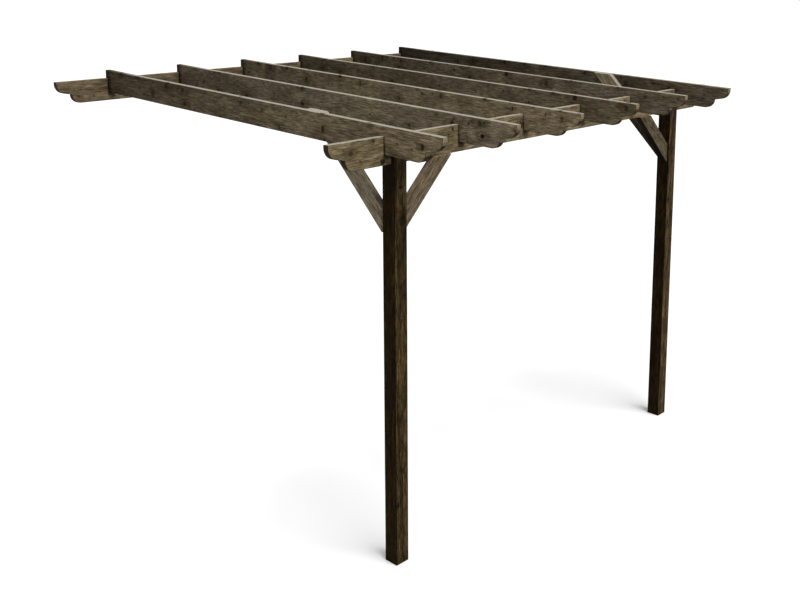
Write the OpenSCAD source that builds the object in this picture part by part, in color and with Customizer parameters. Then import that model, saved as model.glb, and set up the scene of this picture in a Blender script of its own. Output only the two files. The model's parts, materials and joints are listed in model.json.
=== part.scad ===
// Wall-mounted timber pergola: two front posts, two beams, six rafters and four braces.
// Millimetres, Z up. The origin is the middle of the wall beam's back face, and the front is towards -Y.

/* [Posts] */
// Side of the square posts
post_w = 96; // [70:1:150]
// Ground to the underside of the front beam
head_height = 2390; // [2000:10:2800]
// Height of the post's cheeks beside the front beam, as a share of the beam's depth
cheek_share = 0.5; // [0.3:0.05:0.7]
// Thickness of the post's cheek in front of the beam
front_cheek = 24; // [15:1:40]

/* [Roof timbers] */
// Thickness of beams and rafters
timber_t = 38; // [30:1:60]
// Depth of beams and rafters
timber_d = 160; // [120:1:220]
// Distance between the middles of neighbouring rafters
rafter_pitch = 600; // [400:10:800]
// Wall to the posts' front faces
projection = 2970; // [2000:10:4000]
// Fall of the rafters from the wall to the front, in degrees
roof_fall = 2; // [0:0.5:5]
// Beam ends past the outer rafters
beam_overhang = 404; // [280:1:600]
// Rafter ends past the front beam
rafter_overhang = 430; // [280:1:600]

/* [Joints] */
// Height of the rafters' tops above the beams' tops
rafter_rise = 57; // [30:1:80]
// Gap between an outer rafter and its post
post_gap = 8; // [5:1:40]
// Side clearance of a timber in its notch
notch_clear = 1.5; // [0.5:0.5:3]

/* [Braces] */
// Thickness of the braces
brace_t = 45; // [30:1:60]
// Depth of the braces
brace_d = 100; // [60:1:120]
// How far a beam brace reaches down the post and out along the beam
beam_brace_reach = 382; // [300:1:600]
// Beam braces behind the posts' front faces
brace_setback = 12; // [0:1:25]
// How far a rafter brace reaches down the post
rafter_brace_reach = 395; // [300:1:600]

/* [Shaped ends] */
// Height of the flat nose, as a share of the timber's depth
nose_share = 0.1; // [0.05:0.01:0.2]
// Radius of the round under the nose, as a share of the timber's depth
round_share = 0.43; // [0.3:0.01:0.5]
// Length from the nose to the inner corner, as a share of the timber's depth
shelf_share = 0.72; // [0.6:0.01:0.8]
// Fall of the shelf towards the inner corner, in degrees
shelf_fall = 12; // [0:1:20]

/* [Hidden] */

rafter_count = 6;
arc_steps = 12;
left = -1;
right = 1;

roof_color = [0.44, 0.38, 0.29];
post_color = [0.22, 0.17, 0.12];
brace_color = [0.42, 0.35, 0.27];

// Places across the front
outer_x = rafter_pitch * (rafter_count - 1) / 2;
post_outer_x = outer_x - timber_t / 2 - post_gap;
post_inner_x = post_outer_x - post_w;
beam_len = 2 * (outer_x + timber_t / 2 + beam_overhang);

// Places from the wall to the front
front_y = -projection;
beam_y = front_y + front_cheek + notch_clear + timber_t / 2;
post_back_y = front_y + post_w;
tip_y = beam_y - timber_t / 2 - rafter_overhang;

// Heights
slope = tan(roof_fall);
wall_beam_z = -timber_d / 2;
front_beam_z = wall_beam_z - slope * (-timber_t / 2 - beam_y);
ground_z = front_beam_z - head_height;
notch_d = (timber_d - rafter_rise) / 2;
seat_h = timber_d - notch_d;

// Shaped end, measured from its tip and from the timber's underside
nose_z = timber_d * (1 - nose_share);
round_r = timber_d * round_share;
shelf_len = timber_d * shelf_share;
shelf_start = [round_r * (1 - sin(shelf_fall)), nose_z - round_r * cos(shelf_fall)];
knee_z = shelf_start[1] - (shelf_len - shelf_start[0]) * tan(shelf_fall);
end_len = shelf_len + knee_z;

function rafter_top(y) = wall_beam_z + timber_d + rafter_rise + slope * (y + timber_t / 2);

function rafter_x(number) = rafter_pitch * (number - 1) - outer_x;

// Points along an arc between two directions, in degrees
function arc(centre, radius, start, finish) = [
  for (step = [0 : arc_steps])
    let (angle = start + (finish - start) * step / arc_steps)
      centre + radius * [cos(angle), sin(angle)]
];

// Outline of a shaped end, from the top of its nose to the timber's underside
function end_line() = concat(
  [[0, timber_d]],
  arc([round_r, nose_z], round_r, 180, 270 - shelf_fall),
  arc([end_len, knee_z], knee_z, 180, 270)
);

// Outline of a rafter's timber, with its shaped end at the start
module rafter_blank(length) {
  polygon(concat(end_line(), [[length, 0], [length, timber_d]]));
}

// Outline of a beam's timber, shaped at both ends and centred
module beam_blank() {
  near_end = end_line();
  last = len(near_end) - 1;
  far_end = [for (i = [last : -1 : 0]) [beam_len - near_end[i][0], near_end[i][1]]];
  translate([-beam_len / 2, 0]) polygon(concat(near_end, far_end));
}

// A beam's outline with a notch in its top for each rafter
module beam_outline() {
  notch_w = timber_t + 2 * notch_clear;
  difference() {
    beam_blank();
    for (number = [1 : rafter_count])
      translate([rafter_x(number) - notch_w / 2, seat_h]) square([notch_w, timber_d]);
  }
}

// A beam standing on its underside, with its back face at Y = 0
module beam() {
  rotate([90, 0, 0]) linear_extrude(height = timber_t) beam_outline();
}

// A rafter's outline seen from the left: tilted, cut plumb at the wall and notched over both beams
module rafter_outline() {
  notch_w = timber_t + 2 * notch_clear;
  difference() {
    translate([tip_y, rafter_top(tip_y)]) rotate(roof_fall) translate([0, -timber_d]) rafter_blank(2 * projection);
    translate([0, -projection]) square([2 * projection, 2 * projection]);
    translate([beam_y - notch_w / 2, front_beam_z + seat_h - timber_d]) square([notch_w, timber_d]);
    translate([-timber_t - notch_clear, wall_beam_z + seat_h - timber_d]) square([notch_w, timber_d]);
  }
}

module rafter(number) {
  color(roof_color)
    translate([rafter_x(number) - timber_t / 2, 0, 0])
      rotate([90, 0, 90]) linear_extrude(height = timber_t) rafter_outline();
}

// A square post with a slot across its top for the front beam
module post(side) {
  slot_w = timber_t + 2 * notch_clear;
  cheek_h = timber_d * cheek_share;
  color(post_color)
    translate([side * (post_inner_x + post_w / 2), front_y, 0])
      difference() {
        translate([-post_w / 2, 0, ground_z]) cube([post_w, post_w, head_height + cheek_h]);
        translate([-post_w, front_cheek, front_beam_z]) cube([2 * post_w, slot_w, timber_d]);
      }
}

// A brace under the front beam, cut plumb on the post and level under the beam
module beam_brace(side) {
  inner_reach = beam_brace_reach - brace_d * sqrt(2);
  color(brace_color)
    translate([side * post_inner_x, front_y + brace_setback + brace_t, front_beam_z])
      rotate([90, 0, 0]) linear_extrude(height = brace_t)
        polygon([
          [0, -beam_brace_reach],
          [0, -inner_reach],
          [-side * inner_reach, 0],
          [-side * beam_brace_reach, 0]
        ]);
}

// A brace on the inner side of an outer rafter, cut plumb on the post and flush with the rafter's top
module rafter_brace(side) {
  inner_reach = rafter_brace_reach - brace_d * sqrt(2);
  top = rafter_top(post_back_y) - front_beam_z;
  lower_run = (top + rafter_brace_reach) / (1 - slope);
  upper_run = (top + inner_reach) / (1 - slope);
  inner_face = outer_x - timber_t / 2;
  color(brace_color)
    translate([side * (inner_face - brace_t / 2) - brace_t / 2, post_back_y, front_beam_z])
      rotate([90, 0, 90]) linear_extrude(height = brace_t)
        polygon([
          [0, -rafter_brace_reach],
          [lower_run, lower_run - rafter_brace_reach],
          [upper_run, upper_run - inner_reach],
          [0, -inner_reach]
        ]);
}

module left_post() {
  post(left);
}

module right_post() {
  post(right);
}

module front_beam() {
  color(roof_color) translate([0, beam_y + timber_t / 2, front_beam_z]) beam();
}

module wall_beam() {
  color(roof_color) translate([0, 0, wall_beam_z]) beam();
}

module rafter_1() {
  rafter(1);
}

module rafter_2() {
  rafter(2);
}

module rafter_3() {
  rafter(3);
}

module rafter_4() {
  rafter(4);
}

module rafter_5() {
  rafter(5);
}

module rafter_6() {
  rafter(6);
}

module left_beam_brace() {
  beam_brace(left);
}

module right_beam_brace() {
  beam_brace(right);
}

module left_rafter_brace() {
  rafter_brace(left);
}

module right_rafter_brace() {
  rafter_brace(right);
}

left_post();
right_post();
front_beam();
wall_beam();
rafter_1();
rafter_2();
rafter_3();
rafter_4();
rafter_5();
rafter_6();
left_beam_brace();
right_beam_brace();
left_rafter_brace();
right_rafter_brace();
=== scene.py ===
import json
import math

import bmesh
import bpy
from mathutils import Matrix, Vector


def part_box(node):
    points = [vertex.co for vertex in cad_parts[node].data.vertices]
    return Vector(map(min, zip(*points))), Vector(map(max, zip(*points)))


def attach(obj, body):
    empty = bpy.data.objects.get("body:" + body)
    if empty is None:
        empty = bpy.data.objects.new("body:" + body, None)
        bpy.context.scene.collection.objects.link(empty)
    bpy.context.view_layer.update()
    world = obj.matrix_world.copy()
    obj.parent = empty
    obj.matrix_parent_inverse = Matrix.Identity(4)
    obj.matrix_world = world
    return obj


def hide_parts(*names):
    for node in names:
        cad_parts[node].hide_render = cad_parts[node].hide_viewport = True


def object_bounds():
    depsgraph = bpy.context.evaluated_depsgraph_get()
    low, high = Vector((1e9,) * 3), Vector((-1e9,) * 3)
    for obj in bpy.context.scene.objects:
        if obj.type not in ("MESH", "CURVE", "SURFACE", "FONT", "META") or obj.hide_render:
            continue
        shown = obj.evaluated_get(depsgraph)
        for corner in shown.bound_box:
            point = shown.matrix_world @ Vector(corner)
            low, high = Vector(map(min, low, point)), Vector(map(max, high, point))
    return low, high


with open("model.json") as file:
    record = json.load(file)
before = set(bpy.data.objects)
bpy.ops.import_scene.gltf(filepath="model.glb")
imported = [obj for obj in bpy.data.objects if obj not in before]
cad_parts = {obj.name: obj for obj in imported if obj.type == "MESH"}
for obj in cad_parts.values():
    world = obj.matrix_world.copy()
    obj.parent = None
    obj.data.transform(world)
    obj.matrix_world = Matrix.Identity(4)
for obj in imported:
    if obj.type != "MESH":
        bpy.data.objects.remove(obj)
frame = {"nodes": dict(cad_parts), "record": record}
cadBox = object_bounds()
scene = bpy.context.scene


# helpers for node trees

def feed(tree, socket, value):
    if isinstance(value, bpy.types.NodeSocket):
        tree.links.new(value, socket)
    else:
        socket.default_value = value


def addNode(tree, kind, place, **inputs):
    node = tree.nodes.new(kind)
    node.location = place
    for name, value in inputs.items():
        node.inputs[name].default_value = value
    return node


def addMath(tree, operation, place, first, second=0.0):
    node = addNode(tree, "ShaderNodeMath", place)
    node.operation = operation
    feed(tree, node.inputs[0], first)
    feed(tree, node.inputs[1], second)
    return node.outputs[0]


def addMix(tree, place, factor, first, second, blend="MIX"):
    node = addNode(tree, "ShaderNodeMix", place)
    node.data_type = "RGBA"
    node.blend_type = blend
    for number, value in ((0, factor), (6, first), (7, second)):  # 6 and 7 are the node's two colours
        feed(tree, node.inputs[number], value)
    return node.outputs[2]


def addRange(tree, place, value, low, high, newLow=0.0, newHigh=1.0):
    node = addNode(tree, "ShaderNodeMapRange", place, **{"To Min": newLow, "To Max": newHigh})
    node.interpolation_type = "SMOOTHSTEP"
    feed(tree, node.inputs["Value"], value)
    feed(tree, node.inputs["From Min"], low)
    feed(tree, node.inputs["From Max"], high)
    return node.outputs["Result"]


def addParts(tree, place, vector):
    node = addNode(tree, "ShaderNodeSeparateXYZ", place)
    tree.links.new(vector, node.inputs[0])
    return node.outputs


def addNoise(tree, place, vector, scales, detail=2.0, roughness=0.5):
    spread = addNode(tree, "ShaderNodeVectorMath", (place[0] - 200, place[1]))
    spread.operation = "MULTIPLY"
    feed(tree, spread.inputs[0], vector)
    feed(tree, spread.inputs[1], scales)
    noise = addNode(tree, "ShaderNodeTexNoise", place, Scale=1.0, Detail=detail, Roughness=roughness)
    tree.links.new(spread.outputs[0], noise.inputs["Vector"])
    return noise.outputs["Fac"]


def newGroup(name, inputs, outputs):
    group = bpy.data.node_groups.new(name, "ShaderNodeTree")
    for title, value in inputs.items():  # an input without a value is a vector
        kind = "NodeSocketVector" if value is None else "NodeSocketFloat"
        socket = group.interface.new_socket(title, in_out="INPUT", socket_type=kind)
        if value is not None:
            socket.default_value = value
    for title in outputs:
        group.interface.new_socket(title, in_out="OUTPUT", socket_type="NodeSocketFloat")
    start = addNode(group, "NodeGroupInput", (-1400, 0))
    end = addNode(group, "NodeGroupOutput", (900, 0))
    return group, start.outputs, end.inputs


def addGroup(tree, group, place, values):
    node = addNode(tree, "ShaderNodeGroup", place)
    node.node_tree = group
    for title, value in values.items():
        feed(tree, node.inputs[title], value)
    return node.outputs


def rgb(red, green, blue):
    return (red, green, blue, 1.0)


# shader groups that every timber material uses, in metres along, across and through the board

grainSettings = {
    "driftScale": (1.1, 7.0, 7.0),
    "drift": 0.055,
    "swirl": 0.016,
    "heartFlatness": 1.6,
    "lateSharpness": 2.2,
    "fibreScale": (9.0, 420.0, 420.0),
    "fibreDetail": (3.0, 0.6),
    "patchDetail": (4.0, 0.6),
    "layers": {  # noise scale, its detail and roughness, and the span that is stretched to the full range
        "Tints": ((5.3, 11.0, 11.0), (3.0, 0.5), (0.36, 0.64)),
        "Mottle": ((15.0, 48.0, 48.0), (6.0, 0.78), (0.3, 0.7)),
        "Speckle": ((15.0, 220.0, 220.0), (3.0, 0.5), (0.34, 0.66)),
    },
    "sawStrokes": 700.0,  # radians to the metre
    "shiver": 9.0,
    "shiverScale": (14.0, 30.0, 30.0),
    "wornScale": (4.0, 9.0, 9.0),
    "wornSpan": (0.45, 0.6),
}


def makeGrainGroup():
    group, given, put = newGroup(
        "softwoodGrain",
        {"Board": None, "Swirl": 0.0, "Ring Width": 0.006, "Contrast": 1.0,
         "Patch Length": 0.3, "Patch Width": 0.07, "Patch Softness": 0.18},
        ("Rings", "Fibres", "Patches", "Tints", "Mottle", "Speckle", "Ripple"),
    )
    settings = grainSettings
    links = group.links
    board = given["Board"]
    along, across, through = addParts(group, (-1200, 0), board)

    # rings about a heart that drifts along the board, bent round the knots
    bend = addNoise(group, (-1000, 300), board, settings["driftScale"])
    bend = addMath(group, "MULTIPLY", (-800, 300), bend, settings["drift"])
    swirl = addMath(group, "MULTIPLY", (-800, 200), given["Swirl"], settings["swirl"])
    bend = addMath(group, "ADD", (-700, 200), bend, swirl)
    flat = addMath(group, "MULTIPLY", (-1000, -100), through, settings["heartFlatness"])
    acrossSquare = addMath(group, "MULTIPLY", (-800, 0), across, across)
    flatSquare = addMath(group, "MULTIPLY", (-800, -120), flat, flat)
    distance = addMath(group, "ADD", (-700, -60), acrossSquare, flatSquare)
    distance = addMath(group, "SQRT", (-600, -60), distance)
    count = addMath(group, "ADD", (-600, 60), distance, bend)
    count = addMath(group, "DIVIDE", (-500, 0), count, given["Ring Width"])
    late = addMath(group, "FRACT", (-400, 0), count)
    late = addMath(group, "POWER", (-300, 0), late, settings["lateSharpness"])  # a sharp late-wood line ends each ring
    links.new(addMath(group, "MULTIPLY", (-100, 0), late, given["Contrast"]), put["Rings"])

    links.new(addNoise(group, (-1000, -300), board, settings["fibreScale"], *settings["fibreDetail"]), put["Fibres"])

    # long patches of paler wood
    size = addNode(group, "ShaderNodeCombineXYZ", (-1300, -500))
    lengthwise = addMath(group, "DIVIDE", (-1500, -450), 1.0, given["Patch Length"])
    crosswise = addMath(group, "DIVIDE", (-1500, -600), 1.0, given["Patch Width"])
    for socket, value in zip(size.inputs, (lengthwise, crosswise, crosswise)):
        links.new(value, socket)
    least = addMath(group, "SUBTRACT", (-850, -450), 0.5, given["Patch Softness"])
    most = addMath(group, "ADD", (-850, -600), 0.5, given["Patch Softness"])
    patches = addNoise(group, (-1000, -500), board, size.outputs[0], *settings["patchDetail"])
    links.new(addRange(group, (-700, -500), patches, least, most), put["Patches"])

    for row, (title, (scale, detail, span)) in enumerate(settings["layers"].items()):
        height = -700 - 150 * row
        noise = addNoise(group, (-1000, height), board, scale, *detail)
        links.new(addRange(group, (-700, height), noise, *span), put[title])

    # marks of the saw, which show in places only
    shiver = addNoise(group, (-1000, -1250), board, settings["shiverScale"])
    shiver = addMath(group, "MULTIPLY", (-800, -1250), shiver, settings["shiver"])
    stroke = addMath(group, "MULTIPLY", (-800, -1350), along, settings["sawStrokes"])
    stroke = addMath(group, "ADD", (-650, -1300), stroke, shiver)
    tooth = addMath(group, "SINE", (-500, -1300), stroke)
    worn = addNoise(group, (-1000, -1500), board, settings["wornScale"])
    worn = addRange(group, (-700, -1500), worn, *settings["wornSpan"])
    links.new(addMath(group, "MULTIPLY", (-300, -1300), tooth, worn), put["Ripple"])
    return group


knotSettings = {
    "faceShift": 1.7,
    "raggedScale": (75.0, 75.0, 75.0),
    "raggedDetail": 3.0,
    "ragged": 0.022,
    "bareShare": 0.36,
    "slant": (0.3, 1.2),
    "edge": (-0.003, 0.006),
    "darkness": (0.65, 1.0),
    "haloStretch": 0.3,
    "haloReach": 2.8,
    "haloEdge": 0.022,
}


def makeKnotGroup():
    group, given, put = newGroup(
        "knots", {"Board": None, "Whorl": 0.2, "Step": 0.07, "Radius": 0.012}, ("Core", "Halo"))
    settings = knotSettings
    links = group.links
    along, deep, through = addParts(group, (-1500, 0), given["Board"])
    shift = addMath(group, "MULTIPLY", (-1450, -150), through, settings["faceShift"])
    across = addMath(group, "ADD", (-1350, -100), deep, shift)

    # one cell to a knot, with chances for its size, slant and darkness
    cell = addNode(group, "ShaderNodeCombineXYZ", (-1100, 0))
    links.new(addMath(group, "DIVIDE", (-1250, 50), along, given["Whorl"]), cell.inputs[0])
    links.new(addMath(group, "DIVIDE", (-1250, -100), across, given["Step"]), cell.inputs[1])
    cells = addNode(group, "ShaderNodeTexVoronoi", (-900, 0), Scale=1.0, Randomness=1.0)
    cells.voronoi_dimensions = "2D"
    cells.feature = "F1"
    links.new(cell.outputs[0], cells.inputs["Vector"])
    centre = addParts(group, (-700, 0), cells.outputs["Position"])
    chances = addNode(group, "ShaderNodeSeparateColor", (-700, -500))
    links.new(cells.outputs["Color"], chances.inputs[0])
    sizeChance, slantChance, darkChance = chances.outputs

    # distance from the middle of the knot, with a ragged edge
    ragged = addNoise(group, (-1000, -300), given["Board"], settings["raggedScale"], settings["raggedDetail"])
    ragged = addMath(group, "SUBTRACT", (-800, -300), ragged, 0.5)
    ragged = addMath(group, "MULTIPLY", (-700, -300), ragged, settings["ragged"])
    alongGap = addMath(group, "MULTIPLY", (-600, 100), centre[0], given["Whorl"])
    alongGap = addMath(group, "SUBTRACT", (-500, 100), along, alongGap)
    alongGap = addMath(group, "ADD", (-400, 100), alongGap, ragged)
    acrossGap = addMath(group, "MULTIPLY", (-600, -50), centre[1], given["Step"])
    acrossGap = addMath(group, "SUBTRACT", (-500, -50), across, acrossGap)
    acrossGap = addMath(group, "SUBTRACT", (-400, -50), acrossGap, ragged)
    alongSquare = addMath(group, "MULTIPLY", (-300, 100), alongGap, alongGap)
    acrossSquare = addMath(group, "MULTIPLY", (-300, -50), acrossGap, acrossGap)
    radius = addRange(group, (-550, -500), sizeChance, settings["bareShare"], 1.0)
    radius = addMath(group, "MULTIPLY", (-400, -500), radius, given["Radius"])

    slant = addRange(group, (-550, -700), slantChance, 0.0, 1.0, *settings["slant"])  # some knots run across the face
    slant = addMath(group, "MULTIPLY", (-200, -50), acrossSquare, slant)
    reach = addMath(group, "ADD", (-120, 100), alongSquare, slant)
    reach = addMath(group, "SQRT", (-50, 100), reach)
    core = addMath(group, "SUBTRACT", (100, 100), radius, reach)
    core = addRange(group, (250, 100), core, *settings["edge"])
    dark = addRange(group, (250, 300), darkChance, 0.0, 1.0, *settings["darkness"])
    links.new(addMath(group, "MULTIPLY", (400, 100), core, dark), put["Core"])

    flow = addMath(group, "MULTIPLY", (-200, -200), alongSquare, settings["haloStretch"])
    flow = addMath(group, "ADD", (-120, -200), flow, acrossSquare)
    flow = addMath(group, "SQRT", (-50, -200), flow)
    halo = addMath(group, "MULTIPLY", (-50, -350), radius, settings["haloReach"])
    halo = addMath(group, "SUBTRACT", (100, -200), halo, flow)
    links.new(addRange(group, (250, -200), halo, 0.0, settings["haloEdge"]), put["Halo"])
    return group


endSettings = {
    "shapedSpan": (0.2, 0.3),
    "noseSpan": (0.7, 0.8),
    "checkScale": (6.0, 55.0, 240.0),
    "checkSpan": (0.58, 0.68),
}


def makeEndGroup():
    group, given, put = newGroup("sawnEnds", {"Cut": 0.0, "Board": None}, ("Shaped", "Nose", "Checks"))
    links = group.links
    links.new(addRange(group, (-600, 150), given["Cut"], *endSettings["shapedSpan"]), put["Shaped"])
    links.new(addRange(group, (-600, 0), given["Cut"], *endSettings["noseSpan"]), put["Nose"])
    checks = addNoise(group, (-800, -200), given["Board"], endSettings["checkScale"])
    links.new(addRange(group, (-600, -200), checks, *endSettings["checkSpan"]), put["Checks"])
    return group


# painted shade graded along each timber, and painted light on its upward faces
shadeAndLightSettings = {
    "liftedLevel": 1.05,
    "endShadeShare": (0.006, 0.024),
    "endShadeLevel": 0.25,
    "fibreSpan": (0.2, 0.6),
    "sunlit": (0.6, 0.98),
}


def makeShadeAndLightGroup():
    group, given, put = newGroup(
        "paintedShadeAndLight",
        {"Openness": 1.0, "Painted Shade": 1.0, "Painted Top Light": 0.0, "Fibres": 0.5,
         "Shade Lift From": 0.0, "Shade Lift To": 1.0, "Sunlit From": 0.0, "Sunlit To": 1.0},
        ("Level", "Fade"),
    )
    settings = shadeAndLightSettings
    links = group.links
    openness = given["Openness"]
    shadeLift = addRange(group, (-1000, 150), openness, given["Shade Lift From"], given["Shade Lift To"])
    gain = addMath(group, "SUBTRACT", (-1000, 0), settings["liftedLevel"], given["Painted Shade"])
    gain = addMath(group, "MULTIPLY", (-800, 100), shadeLift, gain)
    level = addMath(group, "ADD", (-600, 100), given["Painted Shade"], gain)
    # painted shade: the sheltered end is painted near black
    endShade = addRange(group, (-800, 300), openness, *settings["endShadeShare"], settings["endShadeLevel"], 1.0)
    links.new(addMath(group, "MULTIPLY", (-400, 100), level, endShade), put["Level"])
    sunlit = addRange(group, (-800, -250), given["Fibres"], *settings["fibreSpan"], *settings["sunlit"])
    sunlit = addMath(group, "MULTIPLY", (-600, -200), given["Painted Top Light"], sunlit)
    sunlitReach = addRange(group, (-800, -450), openness, given["Sunlit From"], given["Sunlit To"])
    links.new(addMath(group, "MULTIPLY", (-400, -200), sunlit, sunlitReach), put["Fade"])
    return group


rafterShadowSettings = {  # painted shadow on the beams just under each rafter
    "pitch": 0.6,
    "strength": 0.85,
    "near": 0.024,
    "far": 0.035,
    "low": 0.008,
    "high": 0.055,
}


def makeRafterShadowGroup():
    group, given, put = newGroup(
        "rafterShadow",
        {"Place": None, "Height": 0.0, "Pitch": 0.6, "Strength": 0.85,
         "Near": 0.02, "Far": 0.04, "Low": 0.03, "High": 0.05},
        ("Unshadowed",),
    )
    sideways = addParts(group, (-1200, 0), given["Place"])[0]
    bay = addMath(group, "DIVIDE", (-1050, 0), sideways, given["Pitch"])
    bay = addMath(group, "FRACT", (-900, 0), bay)
    gap = addMath(group, "SUBTRACT", (-750, 0), bay, 0.5)  # from the middle of the nearest rafter
    gap = addMath(group, "ABSOLUTE", (-600, 0), gap)
    gap = addMath(group, "MULTIPLY", (-450, 0), gap, given["Pitch"])
    beside = addRange(group, (-300, 0), gap, given["Near"], given["Far"], 1.0, 0.0)
    beside = addMath(group, "MULTIPLY", (-150, 0), beside, given["Strength"])
    raised = addRange(group, (-300, -250), given["Height"], given["Low"], given["High"])
    # painted shadow, darkest beside each rafter and near the beam's top
    shadow = addMath(group, "MULTIPLY", (0, 0), beside, raised)
    group.links.new(addMath(group, "SUBTRACT", (150, 0), 1.0, shadow), put["Unshadowed"])
    return group


grainGroup = makeGrainGroup()
knotGroup = makeKnotGroup()
endGroup = makeEndGroup()
shadeAndLightGroup = makeShadeAndLightGroup()
rafterShadowGroup = makeRafterShadowGroup()
print("shader groups ready")


# timber finishes

roofFinish = {
    "early": rgb(0.152, 0.121, 0.063),
    "pale": rgb(0.318, 0.258, 0.152),
    "tint": rgb(0.225, 0.169, 0.114),
    "grey": rgb(0.150, 0.130, 0.089),
    "late": rgb(0.092, 0.068, 0.035),
    "knot": rgb(0.018, 0.011, 0.005),
    # painted shade: the dark colour of curved undersides and beam ends
    "shaped": rgb(0.050, 0.037, 0.021),
    "end": rgb(0.420, 0.310, 0.200),
    # painted light: the pale colour of upward faces, also standing for sun bleaching, and the span along the timber
    # where it shows; then the span over which the painted shade lifts
    "sunlitBleach": rgb(0.335, 0.312, 0.258),
    "sunlitBleachOver": (0.02, 0.13),
    "shadeLiftOver": (-0.1, 1.1),
    "ringWidth": 0.007,
    "ringContrast": 0.45,
    "patchLength": 0.26,
    "patchWidth": 0.09,
    "patchSoftness": 0.12,
    "whorl": 0.20,
    "knotStep": 0.085,
    "knotRadius": 0.020,
    "pinSpread": 0.12,
    "pinStep": 0.055,
    "pinRadius": 0.0085,
    "mottle": (0.74, 1.26),
    "speckle": (0.62, 1.38),
    "specular": 0.06,
    "roughness": 0.78,
    "bump": 0.35,
}
postFinish = {
    "early": rgb(0.0240, 0.0141, 0.0054),
    "pale": rgb(0.1024, 0.0651, 0.0245),
    "tint": rgb(0.0528, 0.0377, 0.0129),
    "grey": rgb(0.0320, 0.0222, 0.0102),
    "late": rgb(0.0128, 0.0081, 0.0027),
    "knot": rgb(0.008, 0.005, 0.003),
    # painted shade: the dark colour of curved undersides and beam ends
    "shaped": rgb(0.030, 0.021, 0.010),
    "end": rgb(0.050, 0.035, 0.018),
    # painted light: the pale colour of upward faces, also standing for sun bleaching, and the span along the timber
    # where it shows; then the span over which the painted shade lifts
    "sunlitBleach": rgb(0.080, 0.063, 0.036),
    "sunlitBleachOver": (-1.0, -0.5),
    "shadeLiftOver": (0.03, 0.10),
    "ringWidth": 0.014,
    "ringContrast": 0.6,
    "patchLength": 0.6,
    "patchWidth": 0.028,
    "patchSoftness": 0.09,
    "whorl": 0.21,
    "knotStep": 0.07,
    "knotRadius": 0.015,
    "pinSpread": 0.2,
    "pinStep": 0.07,
    "pinRadius": 0.005,
    "mottle": (0.50, 1.40),
    "speckle": (0.45, 1.55),
    "specular": 0.03,
    "roughness": 0.7,
    "bump": 0.45,
}
braceFinish = {
    "early": rgb(0.180, 0.145, 0.084),
    "pale": rgb(0.275, 0.227, 0.142),
    "tint": rgb(0.235, 0.179, 0.119),
    "grey": rgb(0.195, 0.171, 0.120),
    "late": rgb(0.115, 0.089, 0.052),
    "knot": rgb(0.040, 0.024, 0.012),
    # painted shade: the dark colour of curved undersides and beam ends
    "shaped": rgb(0.150, 0.118, 0.073),
    "end": rgb(0.400, 0.325, 0.219),
    # painted light: the pale colour of upward faces, also standing for sun bleaching, and the span along the timber
    # where it shows; then the span over which the painted shade lifts
    "sunlitBleach": rgb(0.350, 0.322, 0.262),
    "sunlitBleachOver": (0.66, 0.78),
    "shadeLiftOver": (0.40, 0.85),
    "ringWidth": 0.008,
    "ringContrast": 0.4,
    "patchLength": 0.5,
    "patchWidth": 0.05,
    "patchSoftness": 0.16,
    "whorl": 0.24,
    "knotStep": 0.09,
    "knotRadius": 0.009,
    "pinSpread": 0.2,
    "pinStep": 0.08,
    "pinRadius": 0.005,
    "mottle": (0.64, 1.36),
    "speckle": (0.68, 1.34),
    "specular": 0.02,
    "roughness": 0.78,
    "bump": 0.35,
}
layerSettings = {  # how strongly each layer shows, the same on every timber
    "tint": 0.6,
    "greyFibres": (0.42, 0.66),
    "grey": 0.5,
    "halo": 0.6,
    "ripple": 0.10,
    "checks": 0.6,
    "roughFibres": (0.3, 0.7),
    "roughSpread": (-0.08, 0.10),
    "ringRelief": -0.5,
    "rippleRelief": 0.12,
    "bumpHeight": 0.002,
}


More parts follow.
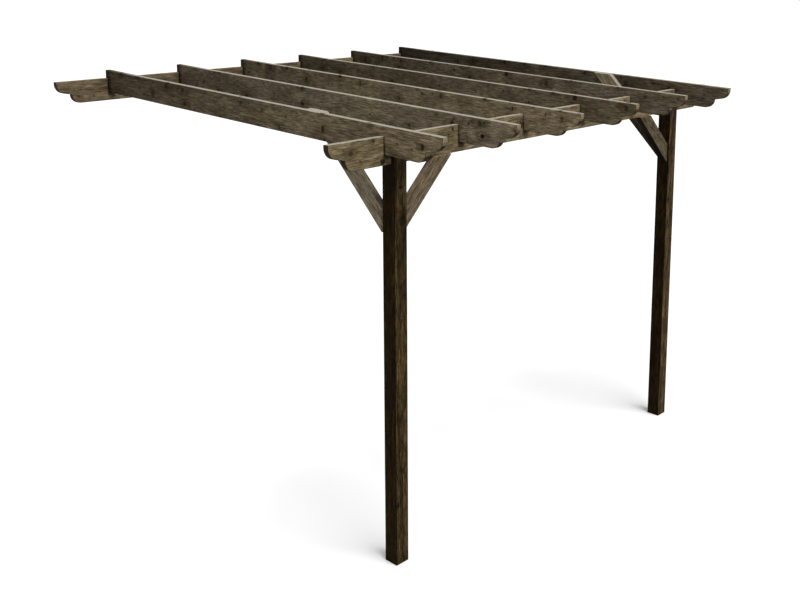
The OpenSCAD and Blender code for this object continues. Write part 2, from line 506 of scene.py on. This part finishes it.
def makeTimberMaterial(name, finish):
    material = bpy.data.materials.new(name)
    material.use_nodes = True
    tree = material.node_tree
    links = tree.links
    layers = layerSettings
    shader = tree.nodes["Principled BSDF"]
    shader.inputs["Specular IOR Level"].default_value = finish["specular"]
    values = {}
    for row, title in enumerate(("board", "cut", "toneAndShade", "paintedTopLight", "openness", "paintedShade", "height")):
        node = addNode(tree, "ShaderNodeAttribute", (-1600, -250 * row))
        node.attribute_name = title
        values[title] = node.outputs[{"board": "Vector", "toneAndShade": "Color"}.get(title, "Fac")]
    board = values["board"]
    place = addNode(tree, "ShaderNodeTexCoord", (-1600, 1300)).outputs["Object"]

    knots = addGroup(tree, knotGroup, (-1400, 0), {
        "Board": board, "Whorl": finish["whorl"], "Step": finish["knotStep"], "Radius": finish["knotRadius"]})
    pins = addGroup(tree, knotGroup, (-1400, -200), {
        "Board": board, "Whorl": finish["pinSpread"], "Step": finish["pinStep"], "Radius": finish["pinRadius"]})
    grain = addGroup(tree, grainGroup, (-1250, 300), {
        "Board": board, "Swirl": knots["Halo"],
        "Ring Width": finish["ringWidth"], "Contrast": finish["ringContrast"],
        "Patch Length": finish["patchLength"], "Patch Width": finish["patchWidth"],
        "Patch Softness": finish["patchSoftness"]})
    ends = addGroup(tree, endGroup, (-1250, -350), {"Board": board, "Cut": values["cut"]})
    shadeAndLight = addGroup(tree, shadeAndLightGroup, (-1000, 900), {
        "Openness": values["openness"], "Painted Shade": values["paintedShade"], "Painted Top Light": values["paintedTopLight"],
        "Fibres": grain["Fibres"],
        "Shade Lift From": finish["shadeLiftOver"][0], "Shade Lift To": finish["shadeLiftOver"][1],
        "Sunlit From": finish["sunlitBleachOver"][0], "Sunlit To": finish["sunlitBleachOver"][1]})
    rafterShadows = addGroup(tree, rafterShadowGroup, (-1000, 1300), {
        "Place": place, "Height": values["height"],
        **{key.title(): value for key, value in rafterShadowSettings.items()}})

    # the wood itself
    colour = addMix(tree, (-900, 400), grain["Patches"], finish["early"], finish["pale"])
    tinted = addMath(tree, "MULTIPLY", (-950, 250), grain["Tints"], layers["tint"])
    colour = addMix(tree, (-800, 400), tinted, colour, finish["tint"])
    greyed = addRange(tree, (-900, 150), grain["Fibres"], *layers["greyFibres"], 0.0, layers["grey"])
    colour = addMix(tree, (-700, 400), greyed, colour, finish["grey"])
    colour = addMix(tree, (-600, 400), grain["Rings"], colour, finish["late"])
    ringed = addMath(tree, "MULTIPLY", (-700, 0), knots["Halo"], layers["halo"])
    colour = addMix(tree, (-500, 300), ringed, colour, finish["late"])

    # uneven stain, then the graded painted shade and the painted shadow under each rafter
    stainAndShade = addRange(tree, (-700, 650), grain["Mottle"], 0.0, 1.0, *finish["mottle"])
    speckle = addRange(tree, (-700, 720), grain["Speckle"], 0.0, 1.0, *finish["speckle"])
    stainAndShade = addMath(tree, "MULTIPLY", (-620, 650), stainAndShade, speckle)
    ripple = addMath(tree, "MULTIPLY", (-700, 800), grain["Ripple"], layers["ripple"])
    stainAndShade = addMath(tree, "ADD", (-550, 650), stainAndShade, ripple)
    stainAndShade = addMath(tree, "MULTIPLY", (-480, 650), stainAndShade, shadeAndLight["Level"])
    stainAndShade = addMath(tree, "MULTIPLY", (-440, 650), stainAndShade, rafterShadows["Unshadowed"])
    shade = addNode(tree, "ShaderNodeVectorMath", (-400, 400))
    shade.operation = "SCALE"
    links.new(colour, shade.inputs[0])
    links.new(stainAndShade, shade.inputs["Scale"])
    # each board's own tone together with its painted shade
    colour = addMix(tree, (-350, 300), 1.0, shade.outputs[0], values["toneAndShade"], "MULTIPLY")
    # painted light: upward faces pale towards the bleach colour, which also stands for sun bleaching
    colour = addMix(tree, (-300, 250), shadeAndLight["Fade"], colour, finish["sunlitBleach"])
    spots = addMath(tree, "MAXIMUM", (-400, 100), knots["Core"], pins["Core"])
    colour = addMix(tree, (-250, 200), spots, colour, finish["knot"])

    # shaped ends, with curved undersides and beam ends painted dark as shade, and noses
    checked = addMath(tree, "MULTIPLY", (-650, -350), ends["Checks"], layers["checks"])
    noseColour = addMix(tree, (-500, -300), checked, finish["end"], finish["late"])
    colour = addMix(tree, (-200, 100), ends["Shaped"], colour, finish["shaped"])
    colour = addMix(tree, (-100, 100), ends["Nose"], colour, noseColour)
    links.new(colour, shader.inputs["Base Color"])

    smooth, rough = (finish["roughness"] + step for step in layers["roughSpread"])
    roughness = addRange(tree, (-300, -150), grain["Fibres"], *layers["roughFibres"], smooth, rough)
    links.new(roughness, shader.inputs["Roughness"])
    rings = addMath(tree, "MULTIPLY", (-650, -500), grain["Rings"], layers["ringRelief"])
    strokes = addMath(tree, "MULTIPLY", (-650, -800), grain["Ripple"], layers["rippleRelief"])
    splits = addMath(tree, "MULTIPLY", (-650, -650), ends["Checks"], ends["Shaped"])
    relief = addMath(tree, "ADD", (-500, -500), grain["Fibres"], rings)
    relief = addMath(tree, "ADD", (-420, -500), relief, strokes)
    relief = addMath(tree, "SUBTRACT", (-350, -500), relief, splits)
    bump = addNode(tree, "ShaderNodeBump", (-150, -450), Strength=finish["bump"], Distance=layers["bumpHeight"])
    links.new(relief, bump.inputs["Height"])
    links.new(bump.outputs["Normal"], shader.inputs["Normal"])
    return material


timberMaterials = {
    "roof_timber": makeTimberMaterial("greyedRoofTimber", roofFinish),
    "post_timber": makeTimberMaterial("darkPostTimber", postFinish),
    "brace_timber": makeTimberMaterial("braceTimber", braceFinish),
}
print("timber finishes ready")


# timbers: each one is its CAD shape with eased arrises and its own board coordinates

timberSettings = {
    "arris": 0.0022,
    "arrisSteps": 2,
    "sharpAngle": 25.0,
    "flatAngle": 0.5,
    "mergeGap": 1e-5,
    "roofFall": 2.0,
    "logLength": 3.7,
    "heartOffset": 0.055,
    "heartDepth": 0.6,
    "boardShifts": {"front_beam": 0.03},
    # painted shade on the posts' side faces
    "postSideShades": {"left_post": (0.284, 0.24, 0.125), "right_post": (0.188, 0.167, 0.11)},
    # painted shade along lower and upright arrises
    "arrisShade": 0.45,
    # painted shade: the level at each timber's sheltered end, for the faces under the roof
    "shadeTones": {
        "rafter_1": 0.32, "rafter_2": 0.5, "rafter_3": 0.5, "rafter_4": 0.5, "rafter_5": 0.5, "rafter_6": 0.32,
        "right_rafter_brace": 0.17, "left_beam_brace": 0.3, "right_beam_brace": 0.3,
        "left_post": 0.4, "right_post": 0.6,
    },
    "shaded": ("wall_beam", "left_beam_brace", "right_beam_brace"),
    # painted shade on undersides
    "underShade": 0.25,
    "braceUnderShade": 0.17,
    # painted shade on the braces' sloping upper faces
    "braceTopShades": {"left_beam_brace": 0.65, "right_beam_brace": 0.78, "left_rafter_brace": 0.52},
    "skyTop": 0.8,
    "braceTop": 0.6,
    "facing": {  # limits on a face's normal that tell the sides of a timber apart
        "end": 0.97, "shaped": 0.3, "shapedUnder": -0.45, "front": -0.7, "side": 0.7, "under": -0.5,
        "slope": (0.5, 0.9), "arris": (0.2, 0.97), "arrisTop": 0.3,
    },
    "boardTones": {
        "front_beam": (1.28, 1.23, 1.16),
        "wall_beam": (0.98, 0.92, 0.91),
        "rafter_1": (1.12, 1.10, 1.10),
        "rafter_2": (1.28, 1.28, 1.40),
        "rafter_3": (1.32, 1.30, 1.32),
        "rafter_4": (0.88, 0.88, 0.90),
        "rafter_5": (0.88, 0.88, 0.95),
        # rafter_6 is set darker partly as painted shade under the roof
        "rafter_6": (0.66, 0.66, 0.70),
        "left_post": (1.33, 1.34, 1.36),
        "right_post": (1.95, 1.91, 2.28),
        "left_beam_brace": (0.98, 0.92, 0.90),
        "right_beam_brace": (0.71, 0.69, 0.64),
        "left_rafter_brace": (1.45, 1.48, 1.58),
        "right_rafter_brace": (1.45, 1.45, 1.50),
    },
}
plainTone = (1.0, 1.0, 1.0)


def randomFrom(number, salt):
    value = math.sin(number * 12.9898 + salt * 78.233) * 43758.5453  # scatters the numbers, the same way every run
    return value - math.floor(value)


def boardAxes(name):
    if name.endswith("post"):
        return Vector((0, 0, 1)), Vector((1, 0, 0))
    if name.endswith("beam"):
        return Vector((1, 0, 0)), Vector((0, 0, 1))
    if name.endswith("beam_brace"):
        side = -1 if name.startswith("left") else 1
        return Vector((-side, 0, 1)).normalized(), Vector((side, 0, 1)).normalized()
    if name.endswith("rafter_brace"):
        return Vector((0, 1, 1)).normalized(), Vector((0, -1, 1)).normalized()
    fall = math.radians(timberSettings["roofFall"])
    along = Vector((0, math.cos(fall), math.sin(fall)))
    return along, Vector((1, 0, 0)).cross(along)


def easedMesh(name):
    settings = timberSettings
    shape = bmesh.new()
    shape.from_mesh(frame["nodes"][name].data)
    flat, sharp = math.radians(settings["flatAngle"]), math.radians(settings["sharpAngle"])
    bmesh.ops.remove_doubles(shape, verts=shape.verts, dist=settings["mergeGap"])
    bmesh.ops.dissolve_limit(shape, angle_limit=flat, verts=shape.verts, edges=shape.edges)
    arrises = [edge for edge in shape.edges if len(edge.link_faces) == 2 and edge.calc_face_angle() > sharp]
    bmesh.ops.bevel(shape, geom=arrises, offset=settings["arris"], offset_type="OFFSET",
                    segments=settings["arrisSteps"], profile=0.5, affect="EDGES", clamp_overlap=True)
    bmesh.ops.triangulate(shape, faces=shape.faces)
    mesh = bpy.data.meshes.new(name + "Timber")
    shape.to_mesh(mesh)
    shape.free()
    return mesh


def markTimber(mesh, number, name):
    settings = timberSettings
    along, deep = boardAxes(name)
    thick = along.cross(deep)
    low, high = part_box(name)
    middle = (low + high) / 2
    run, rise = high.y - low.y, high.z - low.z
    seed = number + 1
    heart = Vector((  # each board comes from its own stretch of log
        seed * settings["logLength"] + settings["boardShifts"].get(name, 0.0),
        settings["heartOffset"] * (randomFrom(seed, 1) - 0.5) * 2,
        settings["heartOffset"] * (settings["heartDepth"] + randomFrom(seed, 2)),
    ))
    kinds = {
        "board": ("FLOAT_VECTOR", "POINT"), "openness": ("FLOAT", "POINT"), "height": ("FLOAT", "POINT"),
        "cut": ("FLOAT", "FACE"), "paintedTopLight": ("FLOAT", "FACE"), "paintedShade": ("FLOAT", "FACE"),
        "toneAndShade": ("FLOAT_COLOR", "FACE"),
    }
    for title, (kind, domain) in kinds.items():
        mesh.attributes.new(title, kind, domain)
    board, openness, height, cut, paintedTopLight, paintedShade, toneAndShade = (mesh.attributes[title].data for title in kinds)

    level = name.endswith("beam")  # the beams' whole ends get the dark end colour, painted shade that also stands for darker end grain; the rafters' noses are bare
    sloping = name.startswith("rafter_")  # painted shade: the rafters darken towards the back
    hanging = name.endswith("rafter_brace")  # painted shade: the rafter braces darken towards the foot
    propping = name.endswith("beam_brace")  # so do the undersides of the beam braces
    standing = name.endswith("post")  # and the posts' fronts close under the roof
    for vertex in mesh.vertices:
        place = vertex.co - middle
        board[vertex.index].vector = Vector((place.dot(along), place.dot(deep), place.dot(thick))) + heart
        height[vertex.index].value = vertex.co.z - low.z if level else 0.0
        share = 1.0
        if sloping:
            share = (high.y - vertex.co.y) / run
        elif hanging or propping:
            share = (vertex.co.z - low.z) / rise
        elif standing:
            share = (high.z - vertex.co.z) / rise
        openness[vertex.index].value = share

    facing = settings["facing"]
    slopeLow, slopeHigh = facing["slope"]
    arrisLow, arrisHigh = facing["arris"]
    endShade = settings["shadeTones"].get(name, 1.0)
    bodyTone = Vector(settings["boardTones"][name])
    sideShade = Vector(settings["postSideShades"].get(name, plainTone))
    skyward = settings["braceTop"] if hanging else settings["skyTop"]
    underShade = settings["braceUnderShade" if propping else "underShade"]
    for face in mesh.polygons:
        normal = face.normal
        square = abs(normal.dot(along))
        broad = abs(normal.dot(thick))
        nose = square > facing["end"] and not level
        # painted shade: these faces get the dark end colour
        shaped = square > facing["shaped"] and (level or normal.z < facing["shapedUnder"])
        cut[face.index].value = 1.0 if nose else 0.5 if shaped else 0.0
        # painted light on upward faces
        paintedTopLight[face.index].value = 1.0 if normal.z > skyward and name not in settings["shaded"] else 0.0
        # painted shade: the posts' fronts, the beam braces' undersides and all faces of rafters and rafter braces
        # darken towards the sheltered end
        unshadedFace = standing and normal.y > facing["front"] or propping and normal.z > facing["under"]
        paintedShade[face.index].value = 1.0 if unshadedFace else endShade
        shade = 1.0
        # painted shade on sloping upper faces
        if slopeLow < normal.z < slopeHigh:
            shade = settings["braceTopShades"].get(name, 1.0)
        if normal.z < facing["under"]:
            shade *= underShade  # painted shade on undersides
        if arrisLow < broad < arrisHigh and normal.z < facing["arrisTop"]:
            shade *= settings["arrisShade"]  # painted shade along lower and upright arrises
        # painted shade on the posts' side faces
        sideShading = sideShade if abs(normal.x) > facing["side"] else plainTone
        toneAndShade[face.index].color = (*(body * side * shade for body, side in zip(bodyTone, sideShading)), 1.0)


def makeTimber(number, name, slot):
    mesh = easedMesh(name)
    markTimber(mesh, number, name)
    mesh.materials.append(timberMaterials[slot])
    piece = bpy.data.objects.new(name + "Timber", mesh)
    scene.collection.objects.link(piece)
    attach(piece, "root")
    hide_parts(name)


slots = {entry["node"]: entry["material_slot"] for entry in frame["record"]["subparts"]}
for number, name in enumerate(sorted(slots)):
    makeTimber(number, name, slots[name])
print("timbers ready:", len(slots))


# floor, light and camera

stageSettings = {
    "floorSize": 60.0,
    "floorColour": rgb(0.9, 0.9, 0.9),
    "bounceColour": rgb(0.16, 0.16, 0.16),
    "skyLevel": 0.5,
    "sunLevel": 2.6,
    "sunSoftness": 25.0,
    "sunFromFront": 18.0,
    "sunFromLeft": 1.0,
}


def addSeen(tree):
    paths = addNode(tree, "ShaderNodeLightPath", (-600, 0))
    seen = addMath(tree, "MAXIMUM", (-400, 0), paths.outputs["Is Camera Ray"], paths.outputs["Is Glossy Ray"])
    return addMath(tree, "MAXIMUM", (-300, 0), seen, paths.outputs["Is Transmission Ray"])


def makeFloor():
    half = stageSettings["floorSize"] / 2
    level = cadBox[0].z
    corners = [(-half, -half, level), (half, -half, level), (half, half, level), (-half, half, level)]
    mesh = bpy.data.meshes.new("paleFloor")
    mesh.from_pydata(corners, [], [(0, 1, 2, 3)])
    floor = bpy.data.objects.new("paleFloor", mesh)
    scene.collection.objects.link(floor)
    material = bpy.data.materials.new("paleFloor")
    material.use_nodes = True
    tree = material.node_tree
    shader = tree.nodes["Principled BSDF"]
    shader.inputs["Roughness"].default_value = 1.0
    # pale to the eye, but it throws little light back up
    colours = stageSettings["bounceColour"], stageSettings["floorColour"]
    tree.links.new(addMix(tree, (-200, 0), addSeen(tree), *colours), shader.inputs["Base Color"])
    mesh.materials.append(material)


def makeWorld():
    world = bpy.data.worlds.new("studioSky")
    world.use_nodes = True
    tree = world.node_tree
    background = tree.nodes["Background"]
    background.inputs["Color"].default_value = rgb(1, 1, 1)
    strength = addRange(tree, (-200, 0), addSeen(tree), 0.0, 1.0, stageSettings["skyLevel"], 1.0)
    tree.links.new(strength, background.inputs["Strength"])
    scene.world = world


def makeSun():
    light = bpy.data.lights.new("softTopLight", "SUN")
    light.energy = stageSettings["sunLevel"]
    light.angle = math.radians(stageSettings["sunSoftness"])
    sun = bpy.data.objects.new("softTopLight", light)
    sun.rotation_euler = (math.radians(stageSettings["sunFromFront"]), math.radians(-stageSettings["sunFromLeft"]), 0)
    scene.collection.objects.link(sun)


cameraSettings = {
    "place": Vector((-5.3635, -6.9713, 0.8921)),
    "turn": 46.369,
    "tilt": -10.073,
    "focalPixels": 1041.65,
    "principal": (433.07, 150.0),
    "frameSize": (800, 600),
    "sensorWidth": 36.0,
    "farClip": 200.0,
}


def makeCamera():
    settings = cameraSettings
    width, height = settings["frameSize"]
    lens = bpy.data.cameras.new("photoCamera")
    lens.sensor_width = settings["sensorWidth"]
    lens.lens = settings["focalPixels"] / width * lens.sensor_width
    lens.shift_x = (width / 2 - settings["principal"][0]) / width
    lens.shift_y = (settings["principal"][1] - height / 2) / width
    lens.clip_end = settings["farClip"]
    camera = bpy.data.objects.new("photoCamera", lens)
    camera.location = settings["place"]
    camera.rotation_euler = (math.radians(90 + settings["tilt"]), 0, math.radians(-settings["turn"]))
    scene.collection.objects.link(camera)
    scene.camera = camera


makeFloor()
makeWorld()
makeSun()
makeCamera()
scene.view_settings.view_transform = "Standard"
print("floor, light and camera ready")
